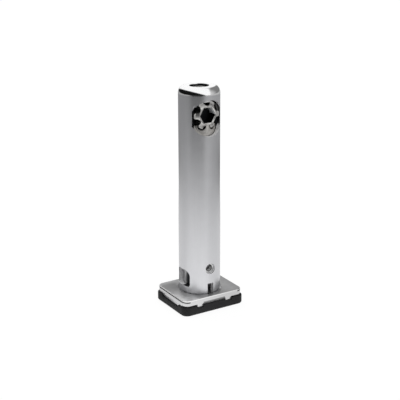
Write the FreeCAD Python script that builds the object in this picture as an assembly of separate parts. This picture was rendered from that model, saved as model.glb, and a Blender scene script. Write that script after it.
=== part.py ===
"""Concealed furniture leveller: a die-cast tube for a bored panel edge that climbs on a screw foot.

A hex key in the side gear turns the crown gear and the spindle. The spindle runs in the nut of a keyed
piston, so the tube rises on its base. The part is drawn fully retracted, in millimetres, +Z up, with the
origin at the bottom centre of the glide pad and the key side facing -Y.
"""
import FreeCAD, Part
import math
import os

Vector = FreeCAD.Vector
X_AXIS, Y_AXIS, Z_AXIS = Vector(1, 0, 0), Vector(0, 1, 0), Vector(0, 0, 1)
ORIGIN = Vector(0, 0, 0)

# Base: glide pad, tray and folded cap plate
PLATE_LENGTH = 22.8
PLATE_WIDTH = 18.8
PLATE_CORNER_R = 2.1
CAP_THICKNESS = 0.75
CAP_EDGE_CHAMFER = 0.2
TRAY_THICKNESS = 1.5
FOLD_GAP = 0.05
SKIRT_LIFT = 0.42
SEAM_RISE = 0.05
SEAM_HEIGHT = 0.32
SEAM_DEPTH = 0.6
TRAY_LIP_HALF = 4.2
TRAY_LIP_HEIGHT = 0.18
TRAY_LIP_INSET = 0.08
TAB_DROP = 0.7
TAB_THICKNESS = 0.8
CAP_TAB_CENTRE = 5.55
CAP_TAB_WIDTH = 2.2
TRAY_TAB_WIDTH = 10.4
PAD_HEIGHT = 3.0
PAD_OVERHANG = 0.45
PAD_BOTTOM_CHAMFER = 0.3
PAD_TOP_CHAMFER = 0.2
PAD_FIT = 0.04

# Housing tube
TUBE_R = 7.0
TUBE_TOP_R = 6.82
TUBE_WALL = 1.6
TUBE_STRAIGHT = 26.0
TUBE_TAPER = 12.0
HOUSING_LENGTH = 70.2
HOUSING_STANDOFF = 0.15
END_ROUND_WIDTH = 1.75
END_ROUND_HEIGHT = 2.3
END_ROUND_TOP_R = 1.45
TUBE_PLATE_GAP = 0.35
TUBE_MOUTH_RELIEF = 0.12
TUBE_MOUTH_PLAY = 0.05

# Openings of the lower end, measured from the housing's lower edge
WINDOW_BOTTOM = 2.7
WINDOW_HEIGHT = 5.9
WINDOW_WIDTH = 7.1
WINDOW_ARCH_R = 2.2
WINDOW_SILL_R = 1.0
NOTCH_WIDTH = 2.2
NOTCH_HEIGHT = 4.1
PIN_HEIGHT = 9.3
PIN_R = 1.83

# Bevel drive
GEAR_DROP = 8.9
GEAR_TEETH = 6
GEAR_TIP_R = 4.7
GEAR_ROOT_R = 3.1
GEAR_GAP_R = 1.3
GEAR_TIP_ROUND = 0.6
GEAR_FACE_Y = -4.5
GEAR_THICKNESS = 2.4
HUB_R = 3.1
HUB_BASE_R = 4.1
HUB_FACE_Y = -5.3
KEY_ACROSS_FLATS = 5.0
KEY_LEAD_IN = 0.1
WEAR_WASHER_THICKNESS = 0.2
WEAR_WASHER_WIDTH = 1.3
GEAR_RADIAL_PLAY = 0.05
PORT_R = 5.9
PORT_DEPTH_Y = -4.15
PORT_FOOT_DROP = 2.4
RECESS_FRONT_R = 5.3
RECESS_FRONT_Y = -3.3
CLIP_INNER_R = 5.4
CLIP_TONGUE_HALF = 1.25
CLIP_TONGUE_R = 4.15
CLIP_THICKNESS = 0.35
CLIP_PLAY = 0.05
CLIP_GROOVE_DEPTH = 0.2
CLIP_HALF_ANGLE = 47.0

CROWN_TEETH = 8
CROWN_R = 5.2
CROWN_RIM = 0.95
CROWN_TIP_PLAY = 0.33
CROWN_TIP_RISE = 0.2
CROWN_SLOT_R = 1.48
CROWN_SLOT_PLAY = 0.15
CROWN_CUP_PLAY = 0.5
CROWN_BODY_HEIGHT = 3.0
CROWN_HEAD_PLAY = 0.3
CROWN_PIN_R = 0.6

# Spindle and piston
THREAD_R = 2.95
THREAD_PLAY = 0.05
THREAD_TIP_CHAMFER = 0.5
SEAT_R = 2.2
NECK_R = 1.5
BEARING_PLAY = 0.05
SPINDLE_TAIL = 9.85
THRUST_WASHER_R = 3.5
THRUST_WASHER_THICKNESS = 0.3
COLLAR_R = 2.85
COLLAR_HEIGHT = 0.85
COLLAR_RECESS = 0.65
TOP_HOLE_R = 3.25
TOP_SOCKET_FLATS = 1.5
TOP_SOCKET_DEPTH = 0.6

TRAVEL = 14.0
PISTON_LENGTH = 44.0
PISTON_PLAY = 0.06
PISTON_BORE_PLAY = 0.35
PISTON_FLOOR = 8.2
GROOVE_DEPTH = 1.25
GROOVE_PLAY = 0.05
NUT_R = 4.2
NUT_HEIGHT = 7.0
FRICTION_RING_DROP = 9.0
FRICTION_RING_HEIGHT = 1.5
FRICTION_RING_DEPTH = 0.6
FRICTION_RING_PLAY = 0.03
PIN_SINK = 1.0
PIN_TIP_PLAY = 0.25
PIN_WALL = 0.6
PIN_SLOT = 0.45

FOOT_SCREW_R = 2.0
FOOT_SCREW_REACH = 6.0
FOOT_SCREW_HEAD_R = 3.4
FOOT_SCREW_HEAD_HEIGHT = 1.5
FOOT_SCREW_KEY = 2.5
FOOT_SCREW_KEY_DEPTH = 0.9
LOCK_WASHER_R = 3.9
LOCK_WASHER_THICKNESS = 0.35
SCREW_POCKET_PLAY = 0.25

# Levels and radii worked out from the sizes above
TRAY_BOTTOM = PAD_HEIGHT
TRAY_TOP = TRAY_BOTTOM + TRAY_THICKNESS
PLATE_TOP = TRAY_TOP + CAP_THICKNESS
HOUSING_BOTTOM = TRAY_TOP + HOUSING_STANDOFF
HOUSING_TOP = HOUSING_BOTTOM + HOUSING_LENGTH
BORE_R = TUBE_R - TUBE_WALL
GEAR_Z = HOUSING_TOP - GEAR_DROP
GEAR_BACK_Y = GEAR_FACE_Y + GEAR_THICKNESS
RECESS_Y = GEAR_BACK_Y + WEAR_WASHER_THICKNESS
CLIP_BACK_Y = GEAR_FACE_Y - CLIP_PLAY
CLIP_FRONT_Y = CLIP_BACK_Y - CLIP_THICKNESS
CROWN_TIP_Z = GEAR_Z - GEAR_ROOT_R - CROWN_TIP_PLAY
CROWN_SLOT_Z = GEAR_Z - GEAR_TIP_R - CROWN_SLOT_PLAY + CROWN_SLOT_R
CUP_FLOOR_Z = GEAR_Z - GEAR_TIP_R - CROWN_CUP_PLAY
CROWN_BOTTOM_Z = CUP_FLOOR_Z - CROWN_BODY_HEIGHT
BORE_TOP = CROWN_TIP_Z + CROWN_TIP_RISE + CROWN_HEAD_PLAY
BOSS_BOTTOM = CUP_FLOOR_Z + THRUST_WASHER_THICKNESS + BEARING_PLAY
NECK_TOP = HOUSING_TOP - COLLAR_RECESS
TOP_FLOOR = NECK_TOP - COLLAR_HEIGHT - BEARING_PLAY
PISTON_TOP = TRAY_TOP + PISTON_LENGTH
PISTON_R = BORE_R - PISTON_PLAY
PISTON_FLOOR_Z = TRAY_TOP + PISTON_FLOOR
SPINDLE_TAIL_Z = TRAY_TOP + SPINDLE_TAIL
PIN_Z = HOUSING_BOTTOM + PIN_HEIGHT
OUTSIDE = 2.0 * PLATE_LENGTH


def cylinder(radius, low, high):
    """Upright cylinder about the part's axis between two levels."""
    return Part.makeCylinder(radius, high - low, Vector(0, 0, low))


def ring(outer_r, inner_r, low, high):
    """Upright ring between two levels."""
    return cylinder(outer_r, low, high).cut(cylinder(inner_r, low, high))


def box(x_range, y_range, z_range):
    """Box from its three ranges."""
    corner = Vector(x_range[0], y_range[0], z_range[0])
    size = [high - low for low, high in (x_range, y_range, z_range)]
    return Part.makeBox(size[0], size[1], size[2], corner)


def cross_cylinder(radius, near_y, far_y, level):
    """Cylinder along +Y through the part's axis plane at one level."""
    return Part.makeCylinder(radius, far_y - near_y, Vector(0, near_y, level), Y_AXIS)


def turned(shape, degrees, axis=Z_AXIS, centre=ORIGIN):
    """Copy of a shape turned about an axis."""
    copy = shape.copy()
    copy.rotate(centre, axis, degrees)
    return copy


def hexagon_prism(across_flats, start, direction, length, first_corner):
    """Hexagonal prism whose first corner points along a given direction."""
    corner_r = across_flats / math.sqrt(3.0)
    points = []
    for index in range(7):
        turn = FreeCAD.Rotation(direction, 60.0 * index)
        points.append(start + turn.multVec(first_corner) * corner_r)
    return Part.Face(Part.makePolygon(points)).extrude(direction * length)


def outline_slab(inset, low, high):
    """Slab with the base plate's rounded outline, moved in by the inset."""
    half_x = PLATE_LENGTH / 2.0 - inset
    half_y = PLATE_WIDTH / 2.0 - inset
    corner_r = PLATE_CORNER_R - inset / 2.0
    slab = box((-half_x, half_x), (-half_y, half_y), (low, high))
    uprights = [edge for edge in slab.Edges if edge.BoundBox.ZLength > (high - low) / 2.0]
    return slab.makeFillet(corner_r, uprights)


def level_edges(shape, level):
    """Edges of a shape that lie wholly at one level."""
    tolerance = 1e-6
    return [edge for edge in shape.Edges
            if abs(edge.BoundBox.ZMin - level) < tolerance and abs(edge.BoundBox.ZMax - level) < tolerance]


def revolved(edges):
    """Solid of revolution about the part's axis from a closed profile in the XZ plane."""
    return Part.Face(Part.Wire(edges)).revolve(ORIGIN, Z_AXIS, 360.0)


def segment(start, end):
    """Straight profile edge between two (radius, level) pairs."""
    return Part.LineSegment(Vector(start[0], 0, start[1]), Vector(end[0], 0, end[1])).toShape()


def profile_solid(points):
    """Solid turned from a polygon of (radius, level) pairs."""
    closed = points + points[:1]
    return revolved([segment(a, b) for a, b in zip(closed, closed[1:])])


def profile_arc(centre, radius, start, end):
    """Profile arc about a (radius, level) centre between two angles from the horizontal."""
    angles = (start, (start + end) / 2.0, end)
    points = [Vector(centre[0] + radius * math.cos(a), 0, centre[1] + radius * math.sin(a)) for a in angles]
    return Part.Arc(*points).toShape()


def end_round(rim_r, rim_z, plateau_r):
    """Two tangent arcs that round the closed end: a wide one from the rim, a tighter one to the plateau."""
    rise = END_ROUND_HEIGHT - END_ROUND_TOP_R
    inset = END_ROUND_WIDTH - END_ROUND_TOP_R
    side_r = (END_ROUND_WIDTH ** 2 + rise ** 2 - END_ROUND_TOP_R ** 2) / (2.0 * inset)
    side_centre = (rim_r - side_r, rim_z)
    top_centre = (plateau_r, rim_z + rise)
    joint_angle = math.atan2(top_centre[1] - side_centre[1], top_centre[0] - side_centre[0])
    return [profile_arc(side_centre, side_r, 0.0, joint_angle),
            profile_arc(top_centre, END_ROUND_TOP_R, joint_angle, math.pi / 2.0)]


def housing_blank():
    """Outside of the tube: relieved mouth, guide length, short taper, slimmer upper length, rounded end."""
    plateau_r = TUBE_TOP_R - END_ROUND_WIDTH
    rim_z = HOUSING_TOP - END_ROUND_HEIGHT
    taper_z = HOUSING_BOTTOM + TUBE_STRAIGHT
    corners = [(0, HOUSING_TOP), (0, HOUSING_BOTTOM), (TUBE_R - TUBE_MOUTH_RELIEF, HOUSING_BOTTOM),
               (TUBE_R, PLATE_TOP + TUBE_MOUTH_PLAY), (TUBE_R, taper_z), (TUBE_TOP_R, taper_z + TUBE_TAPER),
               (TUBE_TOP_R, rim_z)]
    edges = [segment(a, b) for a, b in zip(corners, corners[1:])]
    edges += end_round(TUBE_TOP_R, rim_z, plateau_r)
    edges.append(segment((plateau_r, HOUSING_TOP), (0, HOUSING_TOP)))
    return revolved(edges)


def housing_core():
    """Hollow of the casting: piston bore, crown gear room, gear recess, spindle neck bore and end hole."""
    boss = cylinder(THRUST_WASHER_R, BOSS_BOTTOM, BORE_TOP)
    bore = cylinder(BORE_R, HOUSING_BOTTOM - 1.0, BORE_TOP).cut(boss)
    recess = cross_cylinder(GEAR_TIP_R + GEAR_RADIAL_PLAY, -OUTSIDE, RECESS_Y, GEAR_Z)
    recess = recess.fuse(cross_cylinder(RECESS_FRONT_R, -OUTSIDE, RECESS_FRONT_Y, GEAR_Z))
    neck = cylinder(NECK_R + BEARING_PLAY, BOSS_BOTTOM - 1.0, HOUSING_TOP)
    end_hole = cylinder(TOP_HOLE_R, TOP_FLOOR, HOUSING_TOP + 1.0)
    return bore.fuse([recess, neck, end_hole])


def key_port():
    """Round port for the hex key, deeper in front of the crown gear, with the groove for the clip."""
    port = cross_cylinder(PORT_R, -OUTSIDE, PORT_DEPTH_Y, GEAR_Z)
    foot = box((-PORT_R, PORT_R), (-OUTSIDE, 0), (0, GEAR_Z - PORT_FOOT_DROP))
    port = port.fuse(cross_cylinder(PORT_R, -OUTSIDE, RECESS_FRONT_Y, GEAR_Z).common(foot))
    groove_r = PORT_R + CLIP_GROOVE_DEPTH
    groove = cross_cylinder(groove_r, CLIP_FRONT_Y - CLIP_PLAY, CLIP_BACK_Y + CLIP_PLAY, GEAR_Z)
    upper = box((-groove_r, groove_r), (-OUTSIDE, 0), (GEAR_Z + groove_r / 2.0, GEAR_Z + 2.0 * groove_r))
    return port.fuse(groove.common(upper))


def window_cut():
    """Arched window through both side walls of the tube's lower end."""
    low = HOUSING_BOTTOM + WINDOW_BOTTOM
    half = WINDOW_WIDTH / 2.0
    block = box((-OUTSIDE, OUTSIDE), (-half, half), (low, low + WINDOW_HEIGHT))
    crown = [edge for edge in level_edges(block, low + WINDOW_HEIGHT) if abs(edge.BoundBox.YLength) < 1e-6]
    block = block.makeFillet(WINDOW_ARCH_R, crown)
    sill = [edge for edge in level_edges(block, low) if abs(edge.BoundBox.YLength) < 1e-6]
    return block.makeFillet(WINDOW_SILL_R, sill)


def make_housing():
    """Die-cast tube with its port, pin holes, windows and mouth notches."""
    notch_half = NOTCH_WIDTH / 2.0
    notch = box((-notch_half, notch_half), (-OUTSIDE, OUTSIDE),
                (HOUSING_BOTTOM - 1.0, HOUSING_BOTTOM + NOTCH_HEIGHT))
    pin_holes = cross_cylinder(PIN_R, -OUTSIDE, OUTSIDE, PIN_Z)
    cuts = [housing_core(), key_port(), window_cut(), notch, pin_holes]
    housing = housing_blank()
    for cut in cuts:
        housing = housing.cut(cut)
    return housing


def gear_gap():
    """One round-bottomed tooth gap of the drive gear, opening upwards."""
    centre = GEAR_ROOT_R + GEAR_GAP_R
    gap = cross_cylinder(GEAR_GAP_R, -OUTSIDE, OUTSIDE, GEAR_Z + centre)
    throat = box((-GEAR_GAP_R, GEAR_GAP_R), (-OUTSIDE, OUTSIDE),
                 (GEAR_Z + centre, GEAR_Z + 2.0 * GEAR_TIP_R))
    return gap.fuse(throat)


def make_drive_gear():
    """Six-lobed pinion with a raised hub and a through hexagon for the key; one gap faces straight down."""
    centre = Vector(0, 0, GEAR_Z)
    gear = cross_cylinder(GEAR_TIP_R, GEAR_FACE_Y, GEAR_BACK_Y, GEAR_Z)
    gap = gear_gap()
    hub = Part.makeCone(HUB_R, HUB_BASE_R, GEAR_FACE_Y - HUB_FACE_Y, Vector(0, HUB_FACE_Y, GEAR_Z), Y_AXIS)
    pitch = 360.0 / GEAR_TEETH
    for index in range(GEAR_TEETH):
        gear = gear.cut(turned(gap, 180.0 + pitch * index, Y_AXIS, centre))
    tips = [edge for edge in gear.Edges
            if edge.BoundBox.YLength > GEAR_THICKNESS / 2.0 and edge_radius(edge) > GEAR_TIP_R - 0.01]
    gear = gear.makeFillet(GEAR_TIP_ROUND, tips)
    for index in range(GEAR_TEETH):
        hub = hub.cut(turned(gap, 180.0 + pitch * index, Y_AXIS, centre))
    gear = gear.fuse([hub, cross_cylinder(GEAR_ROOT_R, HUB_FACE_Y, GEAR_BACK_Y, GEAR_Z)])
    start = Vector(0, HUB_FACE_Y - 1.0, GEAR_Z)
    gear = gear.cut(hexagon_prism(KEY_ACROSS_FLATS, start, Y_AXIS, OUTSIDE, X_AXIS))
    corner_r = KEY_ACROSS_FLATS / math.sqrt(3.0)
    lead_in = Part.makeCone(corner_r + KEY_LEAD_IN / 2.0, corner_r - KEY_LEAD_IN, 1.5 * KEY_LEAD_IN,
                            Vector(0, HUB_FACE_Y, GEAR_Z), Y_AXIS)
    return gear.cut(lead_in)


def edge_radius(edge):
    """Distance of an edge's middle from the drive gear's axis."""
    middle = edge.valueAt((edge.FirstParameter + edge.LastParameter) / 2.0)
    return math.hypot(middle.x, middle.z - GEAR_Z)


def make_drive_washer():
    """Wear washer between the drive gear and the floor of its recess."""
    outer = cross_cylinder(GEAR_TIP_R, GEAR_BACK_Y, RECESS_Y, GEAR_Z)
    inner = cross_cylinder(GEAR_TIP_R - WEAR_WASHER_WIDTH, GEAR_BACK_Y, RECESS_Y, GEAR_Z)
    keep = box((-OUTSIDE, OUTSIDE), (-OUTSIDE, OUTSIDE), (BORE_TOP, HOUSING_TOP))
    return outer.cut(inner).common(keep)


def make_drive_clip():
    """Snap ring segment in the top of the port, with the tongue that keeps the drive gear in."""
    outer_r = PORT_R + CLIP_GROOVE_DEPTH - CLIP_PLAY
    outer = cross_cylinder(outer_r, CLIP_FRONT_Y, CLIP_BACK_Y, GEAR_Z)
    inner = cross_cylinder(CLIP_INNER_R, CLIP_FRONT_Y, CLIP_BACK_Y, GEAR_Z)
    half = math.radians(CLIP_HALF_ANGLE)
    reach = 2.0 * PORT_R
    apex = Vector(0, -OUTSIDE, GEAR_Z)
    left = apex + Vector(-reach * math.sin(half), 0, reach * math.cos(half))
    right = apex + Vector(reach * math.sin(half), 0, reach * math.cos(half))
    sector = Part.Face(Part.makePolygon([apex, left, right, apex])).extrude(Y_AXIS * OUTSIDE)
    band = outer.cut(inner).common(sector)
    tongue = box((-CLIP_TONGUE_HALF, CLIP_TONGUE_HALF), (CLIP_FRONT_Y, CLIP_BACK_Y),
                 (GEAR_Z + CLIP_TONGUE_R, GEAR_Z + PORT_R))
    return band.fuse(tongue).removeSplitter()


def crown_slot():
    """One radial, round-bottomed tooth slot of the crown gear, along +X."""
    floor = Part.makeCylinder(CROWN_SLOT_R, OUTSIDE, Vector(0, 0, CROWN_SLOT_Z), X_AXIS)
    throat = box((0, OUTSIDE), (-CROWN_SLOT_R, CROWN_SLOT_R), (CROWN_SLOT_Z, HOUSING_TOP))
    return floor.fuse(throat)


def make_crown_gear():
    """Cup-shaped crown gear; at rest one tooth stands at -Y, in the drive gear's bottom gap."""
    cup_r = CROWN_R - CROWN_RIM
    blank = profile_solid([
        (SEAT_R, CROWN_BOTTOM_Z), (CROWN_R, CROWN_BOTTOM_Z), (CROWN_R, CROWN_TIP_Z + CROWN_TIP_RISE),
        (cup_r, CROWN_TIP_Z), (cup_r, CUP_FLOOR_Z), (SEAT_R, CUP_FLOOR_Z)])
    slot = crown_slot()
    pitch = 360.0 / CROWN_TEETH
    for index in range(CROWN_TEETH):
        blank = blank.cut(turned(slot, pitch * (index + 0.5) - 90.0))
    return blank.cut(make_crown_pin())


def make_crown_pin():
    """Cross pin that locks the crown gear to the spindle's seat."""
    level = (CROWN_BOTTOM_Z + CUP_FLOOR_Z) / 2.0
    length = 2.0 * (CROWN_R - CROWN_PIN_R)
    return Part.makeCylinder(CROWN_PIN_R, length, Vector(-length / 2.0, 0, level), X_AXIS)


def make_spindle():
    """Screw spindle: threaded shank, crown gear seat and the neck that runs up behind the drive gear."""
    shank = profile_solid([
        (0, SPINDLE_TAIL_Z), (THREAD_R - THREAD_TIP_CHAMFER, SPINDLE_TAIL_Z),
        (THREAD_R, SPINDLE_TAIL_Z + THREAD_TIP_CHAMFER), (THREAD_R, CROWN_BOTTOM_Z), (SEAT_R, CROWN_BOTTOM_Z),
        (SEAT_R, CUP_FLOOR_Z), (NECK_R, CUP_FLOOR_Z), (NECK_R, NECK_TOP), (0, NECK_TOP)])
    socket = hexagon_prism(TOP_SOCKET_FLATS, Vector(0, 0, NECK_TOP - TOP_SOCKET_DEPTH), Z_AXIS,
                           2.0 * TOP_SOCKET_DEPTH, X_AXIS)
    return shank.cut(socket).cut(make_crown_pin())


def make_thrust_washer():
    """Washer in the crown gear's cup that carries the load into the casting's boss."""
    return ring(THRUST_WASHER_R, NECK_R, CUP_FLOOR_Z, CUP_FLOOR_Z + THRUST_WASHER_THICKNESS)


def make_spindle_collar():
    """Collar pressed on the neck's end, seen in the hole of the closed end."""
    return ring(COLLAR_R, NECK_R, NECK_TOP - COLLAR_HEIGHT, NECK_TOP)


def piston_groove():
    """Length of the two key grooves, closed at the top so that the guide pins stop the foot."""
    half = PIN_R + GROOVE_PLAY
    top = PIN_Z + TRAVEL
    floor_r = PISTON_R - GROOVE_DEPTH
    slot = box((-half, half), (floor_r, OUTSIDE), (TRAY_TOP - 1.0, top))
    end = Part.makeCylinder(half, OUTSIDE, Vector(0, floor_r, top), Y_AXIS)
    groove = slot.fuse(end)
    return groove.fuse(turned(groove, 180.0))


def make_piston():
    """Keyed piston that slides in the tube and carries the base at its lower end."""
    body = cylinder(PISTON_R, TRAY_TOP, PISTON_TOP)
    bore = cylinder(THREAD_R + PISTON_BORE_PLAY, PISTON_FLOOR_Z, PISTON_TOP)
    nut_seat = cylinder(NUT_R, PISTON_TOP - NUT_HEIGHT, PISTON_TOP + 1.0)
    screw_hole = cylinder(FOOT_SCREW_R, TRAY_TOP - 1.0, TRAY_TOP + FOOT_SCREW_REACH)
    body = body.cut(bore).cut(nut_seat).cut(screw_hole).cut(piston_groove())
    return body.cut(friction_ring(PISTON_R + 1.0))


def friction_ring(outer_r):
    """Ring that fills the piston's groove out to a given radius."""
    high = PISTON_TOP - FRICTION_RING_DROP
    return ring(outer_r, PISTON_R - FRICTION_RING_DEPTH, high - FRICTION_RING_HEIGHT, high)


def make_friction_ring():
    """Plastic ring that keeps the piston from rattling in the bore."""
    return friction_ring(BORE_R - FRICTION_RING_PLAY)


def make_spindle_nut():
    """Nut pressed into the piston's top; the spindle's thread runs in it."""
    return ring(NUT_R, THREAD_R + THREAD_PLAY, PISTON_TOP - NUT_HEIGHT, PISTON_TOP)


def make_guide_pin(side):
    """Slotted spring pin in the tube's wall; its inner end rides in a key groove of the piston."""
    outer_end = TUBE_R - PIN_SINK
    inner_end = PISTON_R - GROOVE_DEPTH + PIN_TIP_PLAY
    pin = cross_cylinder(PIN_R, inner_end, outer_end, PIN_Z)
    pin = pin.cut(cross_cylinder(PIN_R - PIN_WALL, inner_end, outer_end, PIN_Z))
    slot = box((-PIN_SLOT / 2.0, PIN_SLOT / 2.0), (inner_end, outer_end), (PIN_Z, PIN_Z + PIN_R))
    pin = pin.cut(slot)
    return pin if side > 0 else turned(pin, 180.0)


def side_band(depth):
    """Two blocks that cover the plate's long sides, in to a given depth."""
    edge = PLATE_WIDTH / 2.0
    bands = box((-OUTSIDE, OUTSIDE), (edge - depth, OUTSIDE), (0, HOUSING_TOP))
    return bands.fuse(turned(bands, 180.0))


def edge_seam():
    """Joint line that runs round the short sides and corners of the cap, just above the tray."""
    low = TRAY_TOP + SEAM_RISE
    seam = outline_slab(-1.0, low, low + SEAM_HEIGHT).cut(outline_slab(SEAM_DEPTH, 0, HOUSING_TOP))
    half = PLATE_LENGTH / 2.0 - PLATE_CORNER_R
    return seam.cut(box((-half, half), (-OUTSIDE, OUTSIDE), (0, HOUSING_TOP)))


def make_foot_cap():
    """Pressed cap plate: its long sides fold down over the tray and end in two lugs each."""
    plate = outline_slab(0, TRAY_TOP, PLATE_TOP)
    plate = plate.makeChamfer(CAP_EDGE_CHAMFER, level_edges(plate, PLATE_TOP))
    skirt = outline_slab(0, TRAY_BOTTOM + SKIRT_LIFT, TRAY_TOP).cut(
        outline_slab(CAP_THICKNESS, 0, HOUSING_TOP)).common(side_band(PLATE_CORNER_R))
    cap = plate.fuse(skirt).cut(edge_seam())
    for x_side in (-1.0, 1.0):
        middle = x_side * CAP_TAB_CENTRE
        x_range = (middle - CAP_TAB_WIDTH / 2.0, middle + CAP_TAB_WIDTH / 2.0)
        low, high = TRAY_BOTTOM - TAB_DROP, TRAY_BOTTOM + SKIRT_LIFT
        lugs = box(x_range, (-PLATE_WIDTH / 2.0, PLATE_WIDTH / 2.0), (low, high))
        cap = cap.fuse(lugs.cut(outline_slab(CAP_THICKNESS, 0, HOUSING_TOP)))
    return cap.cut(cylinder(TUBE_R + TUBE_PLATE_GAP, 0, HOUSING_TOP)).removeSplitter()


def make_foot_tray():
    """Stiff tray plate under the cap, open along its short sides, where one wide lug holds the pad."""
    tray = outline_slab(0, TRAY_BOTTOM, TRAY_TOP)
    core = outline_slab(CAP_THICKNESS + FOLD_GAP, 0, HOUSING_TOP)
    tray = tray.cut(side_band(PLATE_CORNER_R + FOLD_GAP).cut(core))
    lip_y = PLATE_WIDTH / 2.0 - TRAY_LIP_INSET
    tray = tray.fuse(box((-TRAY_LIP_HALF, TRAY_LIP_HALF), (-lip_y, lip_y),
                         (TRAY_BOTTOM, TRAY_BOTTOM + TRAY_LIP_HEIGHT)))
    half = TRAY_TAB_WIDTH / 2.0
    outer = PLATE_LENGTH / 2.0
    lugs = box((-outer, outer), (-half, half), (TRAY_BOTTOM - TAB_DROP, TRAY_BOTTOM))
    inner = outer - TAB_THICKNESS
    tray = tray.fuse(lugs.cut(box((-inner, inner), (-half, half), (0, TRAY_BOTTOM))))
    return tray.cut(cylinder(FOOT_SCREW_R, 0, HOUSING_TOP)).removeSplitter()


def lug_notches():
    """Notches in the pad's rim that take the lugs of cap and tray, open to the outside."""
    low = TRAY_BOTTOM - TAB_DROP - PAD_FIT
    top = PAD_HEIGHT + 1.0
    half_x, half_y = PLATE_LENGTH / 2.0, PLATE_WIDTH / 2.0
    tray_half = TRAY_TAB_WIDTH / 2.0 + PAD_FIT
    cap_half = CAP_TAB_WIDTH / 2.0 + PAD_FIT
    inner_x = half_x - TAB_THICKNESS - PAD_FIT
    inner_y = half_y - CAP_THICKNESS - PAD_FIT
    notches = []
    for side in (0.0, 180.0):
        notches.append(turned(box((inner_x, OUTSIDE), (-tray_half, tray_half), (low, top)), side))
        for middle in (-CAP_TAB_CENTRE, CAP_TAB_CENTRE):
            x_range = (middle - cap_half, middle + cap_half)
            notches.append(turned(box(x_range, (inner_y, OUTSIDE), (low, top)), side))
    return notches


def make_foot_pad():
    """Moulded glide pad under the base, with a closed pocket for the screw head."""
    pad = outline_slab(-PAD_OVERHANG, 0, PAD_HEIGHT)
    pad = pad.makeChamfer(PAD_BOTTOM_CHAMFER, level_edges(pad, 0))
    pad = pad.makeChamfer(PAD_TOP_CHAMFER, level_edges(pad, PAD_HEIGHT))
    for notch in lug_notches():
        pad = pad.cut(notch)
    pocket_depth = LOCK_WASHER_THICKNESS + FOOT_SCREW_HEAD_HEIGHT + SCREW_POCKET_PLAY
    pocket = cylinder(LOCK_WASHER_R + SCREW_POCKET_PLAY, PAD_HEIGHT - pocket_depth, PAD_HEIGHT + 1.0)
    return pad.cut(pocket)


def make_foot_screw():
    """Screw from below that clamps the tray to the piston."""
    head_top = TRAY_BOTTOM - LOCK_WASHER_THICKNESS
    head_low = head_top - FOOT_SCREW_HEAD_HEIGHT
    screw = cylinder(FOOT_SCREW_HEAD_R, head_low, head_top)
    screw = screw.fuse(cylinder(FOOT_SCREW_R, head_top, TRAY_TOP + FOOT_SCREW_REACH))
    socket = hexagon_prism(FOOT_SCREW_KEY, Vector(0, 0, head_low), Z_AXIS, FOOT_SCREW_KEY_DEPTH, X_AXIS)
    return screw.cut(socket)


def make_lock_washer():
    """Lock washer under the screw head."""
    return ring(LOCK_WASHER_R, FOOT_SCREW_R, TRAY_BOTTOM - LOCK_WASHER_THICKNESS, TRAY_BOTTOM)


def all_nodes():
    """Every piece of the leveller under its node name."""
    return {
        "housing": make_housing(),
        "drive_gear": make_drive_gear(),
        "drive_washer": make_drive_washer(),
        "drive_clip": make_drive_clip(),
        "crown_gear": make_crown_gear(),
        "crown_pin": make_crown_pin(),
        "spindle": make_spindle(),
        "thrust_washer": make_thrust_washer(),
        "spindle_collar": make_spindle_collar(),
        "piston": make_piston(),
        "spindle_nut": make_spindle_nut(),
        "friction_ring": make_friction_ring(),
        "guide_pin_front": make_guide_pin(-1),
        "guide_pin_rear": make_guide_pin(1),
        "foot_cap": make_foot_cap(),
        "foot_tray": make_foot_tray(),
        "foot_pad": make_foot_pad(),
        "foot_screw": make_foot_screw(),
        "lock_washer": make_lock_washer(),
    }


def main():
    """Writes one STEP file per piece."""
    os.makedirs("parts", exist_ok=True)
    for name, shape in all_nodes().items():
        if not shape.isValid() or shape.Volume <= 0:
            raise ValueError("bad solid: " + name)
        shape.exportStep("parts/" + name + ".step")
        print(name, len(shape.Solids), round(shape.Volume, 2))


main()
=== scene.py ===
"""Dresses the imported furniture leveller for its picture: finer pieces, finishes, studio and camera.

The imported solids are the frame. Each one is recast with small edge roundings, the tube gets true round
normals, the spindle gets its cut thread, and every piece gets a finish that is worked out from its own
coordinates in millimetres.

A span is a pair of places between which a mask goes smoothly from 0 to 1. Its name ends in the
coordinate that it reads, and r stands for the distance from an axis.
"""
from __future__ import annotations

import logging
import math
from dataclasses import dataclass, field
from enum import Enum
from typing import Callable, Optional, Union

import bpy
from mathutils import Matrix, Vector

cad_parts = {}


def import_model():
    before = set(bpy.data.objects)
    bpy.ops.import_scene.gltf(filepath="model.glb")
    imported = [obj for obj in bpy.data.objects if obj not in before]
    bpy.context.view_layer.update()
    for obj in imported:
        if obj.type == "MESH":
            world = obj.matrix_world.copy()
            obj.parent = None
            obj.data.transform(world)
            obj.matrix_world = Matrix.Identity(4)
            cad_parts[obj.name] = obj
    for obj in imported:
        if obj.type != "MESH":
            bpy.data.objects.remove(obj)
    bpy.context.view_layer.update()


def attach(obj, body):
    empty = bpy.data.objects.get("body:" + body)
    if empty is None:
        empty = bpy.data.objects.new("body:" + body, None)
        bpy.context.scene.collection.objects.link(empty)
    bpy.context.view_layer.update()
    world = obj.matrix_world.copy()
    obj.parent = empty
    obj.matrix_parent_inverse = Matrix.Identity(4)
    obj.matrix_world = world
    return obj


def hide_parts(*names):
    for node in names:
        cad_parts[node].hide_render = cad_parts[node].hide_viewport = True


LOG = logging.getLogger("leveller")
MM = 0.001

Colour = tuple[float, float, float]
Span = tuple[float, float]
Feed = Union["Wire", float, Colour]


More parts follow.
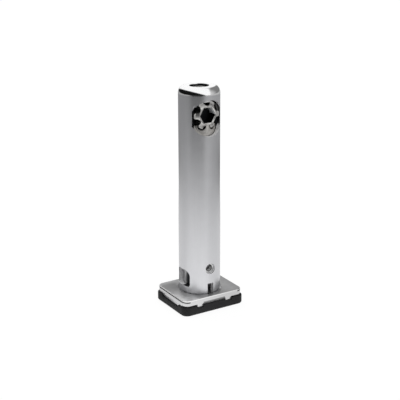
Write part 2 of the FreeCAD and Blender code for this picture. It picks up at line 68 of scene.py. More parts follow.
class Wire:
    """Output of a shader node; arithmetic on it adds Math nodes."""

    def __init__(self, graph: "Graph", socket: bpy.types.NodeSocket) -> None:
        """Keeps the graph and the socket that the wire comes from."""
        self.graph = graph
        self.socket = socket

    def maths(self, operation: str, *values: Feed) -> "Wire":
        """Math node on the given values.

        Args:
            operation: Name of the Math node's operation.
            values: Wires or numbers for its sockets, in order.

        Returns:
            The node's result.
        """
        node = self.graph.node("ShaderNodeMath", {"operation": operation}, dict(enumerate(values)))
        return Wire(self.graph, node.outputs[0])

    def __add__(self, other: Feed) -> "Wire":
        """Sum."""
        return self.maths("ADD", self, other)

    def __radd__(self, other: Feed) -> "Wire":
        """Sum with the number first."""
        return self.maths("ADD", other, self)

    def __sub__(self, other: Feed) -> "Wire":
        """Difference."""
        return self.maths("SUBTRACT", self, other)

    def __rsub__(self, other: Feed) -> "Wire":
        """Difference with the number first."""
        return self.maths("SUBTRACT", other, self)

    def __mul__(self, other: Feed) -> "Wire":
        """Product."""
        return self.maths("MULTIPLY", self, other)

    def __pow__(self, other: Feed) -> "Wire":
        """Power."""
        return self.maths("POWER", self, other)

    def size(self) -> "Wire":
        """Absolute value."""
        return self.maths("ABSOLUTE", self)

    def most(self, other: Feed) -> "Wire":
        """Larger of the two."""
        return self.maths("MAXIMUM", self, other)

    def rise(self, low: float, high: float) -> "Wire":
        """Smooth step from 0 to 1 between two levels, or from 1 to 0 where the first is the higher.

        Args:
            low: Level at which the result is 0.
            high: Level at which the result is 1.

        Returns:
            The eased value.
        """
        node = self.graph.node("ShaderNodeMapRange", {"interpolation_type": "SMOOTHSTEP"},
                               {"Value": self, "From Min": low, "From Max": high})
        return Wire(self.graph, node.outputs["Result"])


class Graph:
    """Node tree of a material or of the world."""

    def __init__(self, tree: bpy.types.NodeTree) -> None:
        """Empties the tree and keeps it."""
        tree.nodes.clear()
        self.tree = tree

    def node(self, kind: str, settings: Optional[dict] = None,
             feeds: Optional[dict] = None) -> bpy.types.Node:
        """Adds a node.

        Args:
            kind: The node's type.
            settings: Its own settings, set before its sockets; "stops" fills a ramp.
            feeds: Wires, numbers or colours for its sockets, by name or index.

        Returns:
            The node.
        """
        node = self.tree.nodes.new(kind)
        for name, value in (settings or {}).items():
            if name == "stops":
                self._fill_ramp(node.color_ramp, value)
            else:
                setattr(node, name, value)
        for key, value in (feeds or {}).items():
            socket = node.inputs[key]
            if isinstance(value, Wire):
                self.tree.links.new(value.socket, socket)
            elif socket.type == "RGBA" and len(value) == 3:
                socket.default_value = (*value, 1.0)
            else:
                socket.default_value = value
        return node

    @staticmethod
    def _fill_ramp(ramp: bpy.types.ColorRamp, stops: list[tuple[float, float]]) -> None:
        """Gives a ramp its grey stops.

        Args:
            ramp: The ramp of a node.
            stops: Place and grey of each stop, in order.
        """
        while len(ramp.elements) < len(stops):
            ramp.elements.new(1.0)
        for element, (place, grey) in zip(ramp.elements, stops):
            element.position = place
            element.color = (grey, grey, grey, 1.0)

    def place_mm(self) -> Wire:
        """Object coordinates in millimetres.

        Returns:
            The place as a vector.
        """
        source = self.node("ShaderNodeTexCoord")
        scaled = self.node("ShaderNodeVectorMath", {"operation": "SCALE"},
                           {0: Wire(self, source.outputs["Object"]), "Scale": 1.0 / MM})
        return Wire(self, scaled.outputs["Vector"])

    def axes(self, place: Wire) -> tuple[Wire, Wire, Wire]:
        """The three parts of a vector."""
        node = self.node("ShaderNodeSeparateXYZ", feeds={0: place})
        return Wire(self, node.outputs[0]), Wire(self, node.outputs[1]), Wire(self, node.outputs[2])

    def stretched(self, place: Wire, factors: tuple[float, float, float]) -> Wire:
        """Vector with each part multiplied by its own factor."""
        node = self.node("ShaderNodeVectorMath", {"operation": "MULTIPLY"}, {0: place, 1: factors})
        return Wire(self, node.outputs["Vector"])

    def noise(self, place: Wire, scale: float, detail: float = 3.0, roughness: float = 0.55) -> Wire:
        """Noise between 0 and 1.

        Args:
            place: Coordinates in millimetres.
            scale: Cells a millimetre.
            detail: Octaves.
            roughness: Share of the finer octaves.

        Returns:
            The noise value.
        """
        node = self.node("ShaderNodeTexNoise", feeds={
            "Vector": place, "Scale": scale, "Detail": detail, "Roughness": roughness})
        return Wire(self, node.outputs[0])

    def cells(self, place: Wire, scale: float) -> Wire:
        """Distance to the nearest cell centre, for pits and grain."""
        node = self.node("ShaderNodeTexVoronoi", feeds={"Vector": place, "Scale": scale})
        return Wire(self, node.outputs["Distance"])

    def mixed(self, share: Feed, first: Feed, second: Feed) -> Wire:
        """Colour between two others.

        Args:
            share: Share of the second colour, from 0 to 1.
            first: The first colour.
            second: The second colour.

        Returns:
            The mixed colour.
        """
        settings = {"data_type": "RGBA", "blend_type": "MIX"}
        node = self.node("ShaderNodeMix", settings, {0: share, 6: first, 7: second})
        return Wire(self, node.outputs[2])

    def tinted(self, colour: Feed, grey: Wire) -> Wire:
        """Colour multiplied by a number."""
        node = self.node("ShaderNodeVectorMath", {"operation": "SCALE"}, {0: colour, "Scale": grey})
        return Wire(self, node.outputs["Vector"])

    def bumped(self, height: Wire, depth_mm: float, strength: float = 1.0) -> Wire:
        """Normal bumped by a height between 0 and 1 times a depth in millimetres."""
        node = self.node("ShaderNodeBump", feeds={
            "Height": height, "Distance": depth_mm * MM, "Strength": strength})
        return Wire(self, node.outputs["Normal"])


@dataclass(frozen=True)
class Finish:
    """Base of the finishes: a name and a Principled shader."""

    name: str
    slot: str
    colour: Colour = (0.5, 0.5, 0.5)
    roughness: float = 0.4

    def recipe(self, graph: Graph) -> dict[str, Feed]:
        """What the Principled shader's sockets get."""
        return {"Base Color": self.colour, "Roughness": self.roughness}

    def material(self) -> bpy.types.Material:
        """The finish as a material, made once.

        Returns:
            The material.
        """
        known = bpy.data.materials.get(self.name)
        if known is not None:
            return known
        material = bpy.data.materials.new(self.name)
        material.use_nodes = True
        graph = Graph(material.node_tree)
        shader = graph.node("ShaderNodeBsdfPrincipled", feeds=self.recipe(graph))
        graph.node("ShaderNodeOutputMaterial", feeds={"Surface": Wire(graph, shader.outputs[0])})
        return material


@dataclass(frozen=True)
class CastSilver(Finish):
    """Satin, tumbled die casting with a polished end, whose inside stays raw; painted shade darkens the
    rooms behind the port, the hole in the end and low jamb faces, and a painted highlight brightens the
    port wall's lower right.
    """

    polish_z: Span = (72.35, 72.7)
    polished: float = 0.12
    skin_r: Span = (6.78, 6.68)
    bore_r: Span = (5.48, 5.4)
    bore_z: Span = (74.5, 74.2)
    hole_r: Span = (3.3, 3.27)
    hole_z: Span = (74.8, 74.6)
    gear_level: float = 65.95
    gear_room_r: Span = (5.41, 5.36)
    port_level: float = 65.15
    port_room_r: Span = (5.91, 5.86)
    room_front_y: Span = (-4.33, -4.3)
    room_back_y: Span = (0.6, 0.2)
    flank_x: Span = (3.9, 4.5)
    flank_z: Span = (65.8, 66.8)
    flank_share: float = 0.75
    crescent_r: Span = (5.6, 5.75)
    crescent_x: Span = (2.4, 3.0)
    crescent_y: Span = (-3.25, -3.35)
    crescent_top_z: Span = (62.6, 62.0)
    crescent_foot_z: Span = (58.0, 58.5)
    window_z: Span = (14.0, 13.9)
    mouth_z: Span = (5.0, 5.4)
    sill_shade_z: Span = (7.65, 7.4)
    sill_shade_x: Span = (4.0, 4.5)
    sill_shade_xy: Span = (0.0, 3.0)
    raw: Colour = (0.2, 0.2, 0.2)
    # Pale non-metallic colour of the window jambs, also used as the painted highlight on the port wall's
    # lower right.
    jamb_and_highlight: Colour = (0.93, 0.93, 0.94)
    # Near-black colour of the painted shade in the rooms behind the port, the hole in the end and the low
    # jamb faces.
    shade_black: Colour = (0.016, 0.017, 0.019)
    mirror: Colour = (0.95, 0.95, 0.955)

    @staticmethod
    def reach(x: Wire, z: Wire, level: float) -> Wire:
        """Distance from an axis that runs along Y at one level."""
        rise = z - level
        return (x * x + rise * rise) ** 0.5

    def crescent_highlight(self, x: Wire, y: Wire, z: Wire) -> Wire:
        """Mask of the port wall's lower right, which gets a painted highlight."""
        wall = self.reach(x, z, self.port_level).rise(*self.crescent_r) * y.rise(*self.crescent_y)
        return wall * x.rise(*self.crescent_x) * z.rise(*self.crescent_top_z) * z.rise(*self.crescent_foot_z)

    def room_shade(self, x: Wire, y: Wire, z: Wire) -> Wire:
        """Mask of the two round rooms behind the port, which get painted shade.

        Args:
            x: Place across the port.
            y: Place along its axis.
            z: Level.

        Returns:
            The mask.
        """
        gear = self.reach(x, z, self.gear_level).rise(*self.gear_room_r)
        port = self.reach(x, z, self.port_level).rise(*self.port_room_r)
        return gear.most(port) * y.rise(*self.room_front_y) * y.rise(*self.room_back_y)

    def recipe(self, graph: Graph) -> dict[str, Feed]:
        """Fine grain on the outside, bright rounded end, darker raw skin within the wall, painted shade
        behind the port, in the end's hole and on low jamb faces, and a painted highlight on the port
        wall's lower right.

        Args:
            graph: The material's node tree.

        Returns:
            What the shader's sockets get, by name.
        """
        place = graph.place_mm()
        x, y, z = graph.axes(place)
        radius = (x * x + y * y) ** 0.5
        within = radius.rise(*self.skin_r)
        crescent_highlight = self.crescent_highlight(x, y, z) * within
        hole = radius.rise(*self.hole_r) * z.rise(*self.hole_z)
        # Painted shade: the rooms behind the port and the hole in the end turn near-black.
        room_shade = (self.room_shade(x, y, z) * within).most(hole) * (1.0 - crescent_highlight)
        bore = radius.rise(*self.bore_r) * z.rise(*self.bore_z)
        inside = bore.most(room_shade) * (1.0 - crescent_highlight)
        polish = z.rise(*self.polish_z) * (1.0 - inside)
        # Pale window jambs, joined by the painted highlight on the port wall's lower right.
        jamb_and_highlight = within * z.rise(*self.window_z) * z.rise(*self.mouth_z)
        jamb_and_highlight = jamb_and_highlight.most(crescent_highlight) * (1.0 - inside)
        # Painted shade: the jamb faces low in the wall, on two opposite sides, turn near-black.
        sill_shade = z.rise(*self.sill_shade_z) * (x * y).rise(*self.sill_shade_xy) * x.size().rise(*self.sill_shade_x)
        unshaded_flank = x.rise(*self.flank_x) * z.rise(*self.flank_z) * self.flank_share
        cloud = graph.noise(place, 0.35, 2.0)
        grain = graph.noise(place, 7.0, 2.0, 0.6)
        draw = graph.noise(graph.stretched(place, (2.2, 2.2, 0.05)), 1.0, 2.0)
        tone = 0.93 + (cloud * 0.08 + grain * 0.05 + draw * 0.05) * (1.0 - polish)
        bright = graph.tinted(graph.mixed(polish, self.colour, self.mirror), tone + polish * 0.07)
        bright = graph.mixed(jamb_and_highlight, bright, graph.mixed(sill_shade, self.jamb_and_highlight, self.shade_black))
        # Raw grey inside; the painted shade in the rooms and the hole is mostly left off on the right
        # upper flank.
        raw_and_shade = graph.mixed(room_shade * (1.0 - unshaded_flank), self.raw, self.shade_black)
        raw_and_shade = graph.tinted(raw_and_shade, 0.8 + graph.noise(place, 1.3) * 0.4)
        satin = self.roughness + (grain - 0.5) * 0.06 + (cloud - 0.5) * 0.05
        rough = satin * (1.0 - polish) + polish * self.polished
        skin = (grain * 0.6 + draw * 0.4) * (1.0 - polish * 0.95)
        return {
            "Base Color": graph.mixed(inside, bright, raw_and_shade),
            "Metallic": 1.0 - jamb_and_highlight,
            "Roughness": rough + inside * 0.12,
            "Normal": graph.bumped(skin, 0.012, 0.5)}


@dataclass(frozen=True)
class BrushedPlate(Finish):
    """Pressed, nickel-plated sheet with fine lines along its length, a painted highlight on its rounded
    edges, painted shade on the lip between the lugs and a painted sheen on the left of the flat.
    """

    flat_z: Span = (5.21, 5.245)
    edge_highlight_z: Span = (4.9, 5.0)
    lip_shade_x: Span = (4.25, 4.2)
    lip_shade_y: Span = (9.15, 9.2)
    lip_shade_z: Span = (3.98, 3.86)
    sheen_left_x: Span = (-4.5, -7.0)
    sheen_near_y: Span = (3.0, -8.5)
    sheen_far_y: Span = (6.0, 9.4)
    flat_dim: float = 0.32
    flat_blur: float = 0.24
    lip_shade_dim: float = 0.6
    # Whiter colour of the rounded edge: a painted highlight.
    edge_highlight: Colour = (0.97, 0.97, 0.97)

    def recipe(self, graph: Graph) -> dict[str, Feed]:
        """Long fine lines on the uneven, dimmed flat, a painted sheen on the flat's left, a painted
        highlight on the rounded edge and painted shade on the lip between the lugs.

        Args:
            graph: The material's node tree.

        Returns:
            What the shader's sockets get, by name.
        """
        place = graph.place_mm()
        x, y, z = graph.axes(place)
        lines = graph.noise(graph.stretched(place, (0.25, 9.0, 9.0)), 1.0, 3.0, 0.65)
        cloud = graph.noise(place, 0.5, 2.0)
        flat = z.rise(*self.flat_z)
        # Painted highlight along the rounded edge below the flat.
        edge = z.rise(*self.edge_highlight_z) * (1.0 - flat)
        # Painted shade on the lip between the lugs.
        lip_shade = z.rise(*self.lip_shade_z) * y.size().rise(*self.lip_shade_y) * x.size().rise(*self.lip_shade_x)
        # Painted sheen on the flat's left: brighter toward the front and the far back, dimmer between.
        painted_sheen = 0.7 + y.rise(*self.sheen_near_y) * 1.4 + y.rise(*self.sheen_far_y) * 0.45
        sheen_side = x.rise(*self.sheen_left_x) * flat
        tone = 1.0 - flat * (self.flat_dim + (cloud - 0.5) * 0.14) + (lines - 0.5) * 0.16
        tone = tone * (1.0 + sheen_side * (painted_sheen - 1.0)) * (1.0 - lip_shade * self.lip_shade_dim)
        return {
            "Base Color": graph.mixed(edge, graph.tinted(self.colour, tone), self.edge_highlight),
            "Metallic": 1.0,
            "Roughness": self.roughness + flat * self.flat_blur + (lines - 0.5) * 0.12,
            "Normal": graph.bumped(lines, 0.006, 0.4)}


@dataclass(frozen=True)
class GearSteel(Finish):
    """Sintered gear steel: faintly warm, mottled, with fine pores."""

    pore_scale: float = 3.2
    metallic: float = 1.0

    def recipe(self, graph: Graph) -> dict[str, Feed]:
        """Mottled tone, small pores and rubbed highs.

        Args:
            graph: The material's node tree.

        Returns:
            What the shader's sockets get, by name.
        """
        place = graph.place_mm()
        mottle = graph.noise(place, 1.1, 4.0, 0.6)
        fine = graph.noise(place, 6.5, 2.0)
        pores = graph.cells(place, self.pore_scale).rise(0.05, 0.22)
        tone = (0.72 + mottle * 0.5) * (0.82 + pores * 0.18)
        return {
            "Base Color": graph.tinted(self.colour, tone),
            "Metallic": self.metallic,
            "Roughness": self.roughness + (fine - 0.5) * 0.2 + (0.5 - mottle) * 0.12,
            "Normal": graph.bumped(mottle * 0.5 + pores * 0.3 + fine * 0.2, 0.04, 0.5)}


@dataclass(frozen=True)
class PistonCast(GearSteel):
    """Piston casting with painted shade, a soft near-black band toward one side of each window."""

    window_shade_top_z: Span = (14.2, 11.2)
    window_shade_foot_z: Span = (5.2, 6.8)
    window_shade_y: Span = (3.8, 2.2)
    window_shade_xy: Span = (-4.0, 5.0)
    wander: float = 3.0
    window_shade_black: Colour = (0.03, 0.031, 0.034)

    def recipe(self, graph: Graph) -> dict[str, Feed]:
        """Sintered look with the painted shade at window height, whose ends wander.

        Args:
            graph: The material's node tree.

        Returns:
            What the shader's sockets get, by name.
        """
        feeds = super().recipe(graph)
        place = graph.place_mm()
        x, y, z = graph.axes(place)
        level = z + (graph.noise(place, 0.9) - 0.5) * self.wander
        # Painted shade: the piston goes near-black toward one side of each window.
        window_shade = level.rise(*self.window_shade_top_z) * level.rise(*self.window_shade_foot_z)
        window_shade = window_shade * (x * y).rise(*self.window_shade_xy) * y.size().rise(*self.window_shade_y)
        feeds["Base Color"] = graph.mixed(window_shade, feeds["Base Color"], self.window_shade_black)
        return feeds


@dataclass(frozen=True)
class TurnedSteel(Finish):
    """Turned or drawn bright steel with fine rings about the part's axis."""

    rings: float = 7.0
    metallic: float = 1.0

    def recipe(self, graph: Graph) -> dict[str, Feed]:
        """Fine rings in tone, roughness and relief.

        Args:
            graph: The material's node tree.

        Returns:
            What the shader's sockets get, by name.
        """
        place = graph.place_mm()
        x, y, z = graph.axes(place)
        radius = (x * x + y * y) ** 0.5
        turned = graph.node("ShaderNodeCombineXYZ", feeds={0: radius * self.rings, 1: z * self.rings})
        rings = graph.noise(Wire(graph, turned.outputs[0]), 1.0, 3.0, 0.6)
        spots = graph.noise(place, 1.7, 2.0)
        return {
            "Base Color": graph.tinted(self.colour, 0.84 + rings * 0.2 + spots * 0.12),
            "Metallic": self.metallic,
            "Roughness": self.roughness + (rings - 0.5) * 0.16,
            "Normal": graph.bumped(rings, 0.008, 0.4)}


@dataclass(frozen=True)
class MouldedPlastic(Finish):
    """Moulded plastic or rubber with a fine spark-eroded grain."""

    grain: float = 3.4

    def recipe(self, graph: Graph) -> dict[str, Feed]:
        """Fine grain with scuffed lows and highs.

        Args:
            graph: The material's node tree.

        Returns:
            What the shader's sockets get, by name.
        """
        place = graph.place_mm()
        grain = graph.noise(place, self.grain, 4.0, 0.65)
        pits = graph.cells(place, self.grain * 1.2).rise(0.0, 0.5)
        scuff = graph.noise(place, 0.6, 3.0)
        return {
            "Base Color": graph.tinted(self.colour, 0.7 + grain * 0.5 + scuff * 0.25),
            "Roughness": self.roughness + (scuff - 0.5) * 0.2,
            "Specular IOR Level": 0.34,
            "Normal": graph.bumped(grain * 0.6 + pits * 0.4, 0.06, 0.55)}


class Surface(Enum):
    """Finishes of the leveller."""

    CAST = CastSilver("cast_silver_finish", "cast_silver", (0.7, 0.703, 0.722), 0.36)
    PLATE = BrushedPlate("plate_steel_finish", "plate_steel", (0.66, 0.66, 0.665), 0.3)
    GEAR = GearSteel("gear_steel_finish", "gear_steel", (0.7, 0.69, 0.675), 0.34)
    CROWN = GearSteel("crown_steel_finish", "gear_steel", (0.68, 0.66, 0.63), 0.4)
    # Painted shade: near-black walls inside the key's hexagon.
    BROACHED = GearSteel("hex_shade_finish", "gear_steel", (0.05, 0.054, 0.062), 0.3)
    SPINDLE = TurnedSteel("spindle_steel_finish", "spindle_steel", (0.56, 0.55, 0.54), 0.3)
    # Painted highlight: white, non-metallic upper right wall of the hexagon.
    RUBBED = GearSteel("hex_highlight_finish", "gear_steel", (0.93, 0.96, 0.98), 0.4, metallic=0.0)
    MILLED = GearSteel("milled_wall_finish", "cast_silver", (0.93, 0.93, 0.94), 0.35, metallic=0.15)
    CLIP = TurnedSteel("clip_steel_finish", "spring_steel", (0.9, 0.9, 0.91), 0.3, metallic=0.3)
    JOINT = GearSteel("joint_line_finish", "plate_steel", (0.02, 0.02, 0.022), 0.5)
    OILED = TurnedSteel("oiled_washer_finish", "spring_steel", (0.02, 0.021, 0.023), 0.4)
    SPRING = TurnedSteel("spring_steel_finish", "spring_steel", (0.68, 0.68, 0.68), 0.24)
    PISTON = PistonCast("piston_cast_finish", "piston_cast", (0.58, 0.58, 0.585), 0.42, pore_scale=1.8)
    BRASS = TurnedSteel("nut_brass_finish", "nut_brass", (0.66, 0.5, 0.24), 0.3)
    RING = MouldedPlastic("ring_plastic_finish", "ring_plastic", (0.05, 0.05, 0.05), 0.45)
    PAD = MouldedPlastic("pad_plastic_finish", "pad_plastic", (0.014, 0.014, 0.015), 0.66)


class Bench:
    """Hand work on one object at a time."""

    @staticmethod
    def clear() -> None:
        """Deselects everything."""
        bpy.ops.object.select_all(action="DESELECT")
        bpy.context.view_layer.objects.active = None

    @staticmethod
    def hold(piece: bpy.types.Object) -> None:
        """Makes one object the only selected and active one.

        Args:
            piece: The object.
        """
        Bench.clear()
        piece.select_set(True)
        bpy.context.view_layer.objects.active = piece

    @staticmethod
    def traced(node: str, name: str) -> bpy.types.Object:
        """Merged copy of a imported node's solid, ready to be worked on.

        Args:
            node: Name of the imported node.
            name: Name of the new piece.

        Returns:
            The new object, at the origin.
        """
        mesh = bpy.data.objects[node].data.copy()
        mesh.name = name
        mesh.materials.clear()
        piece = bpy.data.objects.new(name, mesh)
        bpy.context.scene.collection.objects.link(piece)
        Bench.hold(piece)
        bpy.ops.mesh.customdata_custom_splitnormals_clear()
        bpy.ops.object.mode_set(mode="EDIT")
        bpy.ops.mesh.select_all(action="SELECT")
        bpy.ops.mesh.remove_doubles(threshold=0.0005 * MM)
        bpy.ops.mesh.dissolve_limited(angle_limit=math.radians(0.4))
        bpy.ops.object.mode_set(mode="OBJECT")
        return piece

    @staticmethod
    def eased(piece: bpy.types.Object, width_mm: float, segments: int = 2,
              from_degrees: float = 32.0) -> None:
        """Rounds the sharp edges and smooths the rest.

        Args:
            piece: The object.
            width_mm: Width of the rounding.
            segments: Facets across it.
            from_degrees: Edges sharper than this are rounded.
        """
        Bench.hold(piece)
        edge = piece.modifiers.new("edge_rounding", "BEVEL")
        edge.limit_method = "ANGLE"
        edge.angle_limit = math.radians(from_degrees)
        edge.width = width_mm * MM
        edge.segments = segments
        edge.use_clamp_overlap = True
        edge.miter_outer = "MITER_ARC"
        bpy.ops.object.modifier_apply(modifier=edge.name)
        bpy.ops.object.shade_smooth_by_angle(angle=math.radians(from_degrees))

    @staticmethod
    def trued(piece: bpy.types.Object,
              direction: Callable[[Vector, Vector], Optional[Vector]]) -> None:
        """Gives chosen corners an exact normal.

        Args:
            piece: The object.
            direction: Takes a corner's place in millimetres and its face's normal, and returns the
                corner's normal, or nothing to keep its own.
        """
        mesh = piece.data
        kept = [Vector(corner.vector) for corner in mesh.corner_normals]
        for face in mesh.polygons:
            for corner in face.loop_indices:
                place = mesh.vertices[mesh.loops[corner].vertex_index].co / MM
                wanted = direction(place, face.normal)
                if wanted is not None:
                    kept[corner] = wanted.normalized()
        mesh.normals_split_custom_set(kept)

    @staticmethod
    def faced(piece: bpy.types.Object, surface: Surface,
              chosen: Callable[[Vector, Vector], bool]) -> None:
        """Gives some faces a second finish.

        Args:
            piece: The object, already dressed.
            surface: The second finish.
            chosen: Takes a face's centre in millimetres and its normal, and tells whether it gets
                the finish.
        """
        piece.data.materials.append(surface.value.material())
        last = len(piece.data.materials) - 1
        for face in piece.data.polygons:
            if chosen(face.center / MM, face.normal):
                face.material_index = last

    @staticmethod
    def dressed(piece: bpy.types.Object, surface: Surface) -> None:
        """Puts a finish on every face of an object.

        Args:
            piece: The object.
            surface: The finish.
        """
        material = surface.value.material()
        if not piece.data.materials:
            piece.data.materials.append(material)
        for index in range(len(piece.data.materials)):
            piece.data.materials[index] = material


@dataclass
class Assembly:
    """Pieces that ride on one body."""

    body: str
    pieces: list[bpy.types.Object] = field(default_factory=list)

    def fit(self, piece: bpy.types.Object, surface: Surface, *nodes: str) -> bpy.types.Object:
        """Finishes a piece and puts it in its place in the model.

        Args:
            piece: The new object.
            surface: Its finish.
            nodes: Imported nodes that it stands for.

        Returns:
            The same object.
        """
        Bench.dressed(piece, surface)
        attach(piece, self.body)
        if nodes:
            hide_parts(*nodes)
        self.pieces.append(piece)
        LOG.info("%s on %s: %d faces", piece.name, self.body, len(piece.data.polygons))
        return piece

    def recast(self, node: str, name: str, surface: Surface, width_mm: float,
               segments: int = 2) -> bpy.types.Object:
        """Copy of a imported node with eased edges, in its place.

        Args:
            node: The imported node.
            name: Name of the piece that stands for it.
            surface: Its finish.
            width_mm: Width of its edge rounding.
            segments: Facets across the rounding.

        Returns:
            The new object.
        """
        piece = Bench.traced(node, name)
        Bench.eased(piece, width_mm, segments)
        return self.fit(piece, surface, node)


@dataclass
class TubeAssembly(Assembly):
    """Die-cast tube with the pieces that stay in its wall."""

    body: str = "tube"
    wall_r: float = 7.0
    slim_r: float = 6.82
    guide_bottom: float = 5.3
    taper_from: float = 30.65
    taper_to: float = 42.65
    rim: float = 72.55
    top: float = 74.85
    end_width: float = 1.75
    end_top_r: float = 1.45
    edge: float = 0.09
    slack: float = 0.03
    least_lean: float = 0.02
    least_facing: float = 0.6
    gear_level: float = 65.95
    port_r: float = 5.9
    port_drop: float = 0.8
    port_floor: float = -4.15
    port_depth: float = 1.0
    wall_slack: float = 0.1
    wall_lean: float = 0.3

    def radius_at(self, level: float) -> float:
        """Outer radius of the tube at a level."""
        share = (level - self.taper_from) / (self.taper_to - self.taper_from)
        return self.wall_r + (self.slim_r - self.wall_r) * min(max(share, 0.0), 1.0)

    def end_normal(self, flat: Vector, level: float) -> Optional[Vector]:
        """Normal of the closed end's two tangent arcs.

        Args:
            flat: Place of the corner, without its level.
            level: Its level.

        Returns:
            The normal, or nothing within the hole.
        """
        rise = self.top - self.rim - self.end_top_r
        inset = self.end_width - self.end_top_r
        side_r = (self.end_width ** 2 + rise ** 2 - self.end_top_r ** 2) / (2.0 * inset)
        plateau = self.slim_r - self.end_width
        if flat.length < plateau:
            return Vector((0.0, 0.0, 1.0)) if level > self.top - self.slack else None
        outward = flat.normalized()
        steep = math.atan2(rise, plateau - self.slim_r + side_r)
        if math.atan2(level - self.rim, flat.length - self.slim_r + side_r) < steep:
            lean = math.asin(min((level - self.rim) / side_r, 1.0))
            return outward * math.cos(lean) + Vector((0.0, 0.0, math.sin(lean)))
        lean = math.asin(min(max((level - self.top + self.end_top_r) / self.end_top_r, 0.0), 1.0))
        return outward * math.cos(lean) + Vector((0.0, 0.0, math.sin(lean)))

    def outward(self, place: Vector, normal: Vector) -> Optional[Vector]:
        """True normal of the outer skin, for corners that lie on it.

        Args:
            place: Place of the corner in millimetres.
            normal: Normal of its face.

        Returns:
            The normal, or nothing for a corner that is elsewhere.
        """
        flat = Vector((place.x, place.y, 0.0))
        if place.z >= self.rim + self.slack and normal.z > self.least_lean:
            return self.end_normal(flat, place.z)
        if not self.guide_bottom - self.slack < place.z < self.rim + self.slack:
            return None
        off_skin = abs(flat.length - self.radius_at(place.z)) > self.slack
        if off_skin or normal.dot(flat.normalized()) < self.least_facing:
            return None
        return flat

    def lower_port(self, casting: bpy.types.Object) -> None:
        """Moves the port's round wall down, as it was cast a little below the pinion's axis.

        Args:
            casting: The tube, not yet eased.
        """
        Bench.hold(casting)
        bpy.ops.object.mode_set(mode="EDIT")
        bpy.ops.mesh.select_mode(type="VERT")
        bpy.ops.mesh.select_all(action="DESELECT")
        bpy.ops.object.mode_set(mode="OBJECT")
        for vertex in casting.data.vertices:
            place = vertex.co / MM
            reach = math.hypot(place.x, place.z - self.gear_level)
            on_wall = abs(reach - self.port_r) < self.slack
            vertex.select = on_wall and place.y < self.port_floor + self.port_depth
        bpy.ops.object.mode_set(mode="EDIT")
        bpy.ops.transform.translate(value=(0.0, 0.0, -self.port_drop * MM))
        bpy.ops.object.mode_set(mode="OBJECT")

    def in_port_wall(self, place: Vector, normal: Vector) -> bool:
        """Tells whether a face belongs to the port's milled round wall.

        Args:
            place: Centre of the face in millimetres.
            normal: Its normal.

        Returns:
            Whether it does.
        """
        reach = math.hypot(place.x, place.z - self.gear_level + self.port_drop)
        on_wall = abs(reach - self.port_r) < self.wall_slack and abs(normal.y) < self.wall_lean
        return on_wall and place.y < self.port_floor

    def build(self) -> None:
        """Casting, spring pins, clip and washer."""
        casting = Bench.traced("housing", "cast_tube")
        self.lower_port(casting)
        Bench.eased(casting, self.edge)
        Bench.trued(casting, self.outward)
        self.fit(casting, Surface.CAST, "housing")
        Bench.faced(casting, Surface.MILLED, self.in_port_wall)
        self.recast("drive_clip", "snap_ring", Surface.CLIP, 0.07)
        self.recast("drive_washer", "wear_washer", Surface.OILED, 0.04)
        self.recast("guide_pin_front", "spring_pin_front", Surface.SPRING, 0.08)
        self.recast("guide_pin_rear", "spring_pin_rear", Surface.SPRING, 0.08)


@dataclass
class DriveAssembly(Assembly):
    """Six-lobed pinion with the key's hexagon."""

    body: str = "drive"
    level: float = 65.95
    key_r: float = 2.9
    edge: float = 0.1
    wall_lean: float = 0.3
    highlight_wall_x: float = -0.5
    highlight_wall_z: float = -0.3

    def build(self) -> None:
        """Pinion with rolled edges, painted shade on the hexagon's walls and a painted highlight on its
        upper right wall.
        """
        pinion = self.recast("drive_gear", "star_pinion", Surface.GEAR, self.edge, 3)
        Bench.faced(pinion, Surface.BROACHED, self.in_hexagon)
        Bench.faced(pinion, Surface.RUBBED, self.in_highlight_wall)

    def in_hexagon(self, place: Vector, normal: Vector) -> bool:
        """Tells whether a face belongs to the hexagon's walls."""
        reach = math.hypot(place.x, place.z - self.level)
        return reach < self.key_r and abs(normal.y) < self.wall_lean

    def in_highlight_wall(self, place: Vector, normal: Vector) -> bool:
        """Tells whether a face belongs to the hexagon's upper right wall, which gets a painted highlight.
        """
        return self.in_hexagon(place, normal) and normal.x < self.highlight_wall_x and normal.z < self.highlight_wall_z


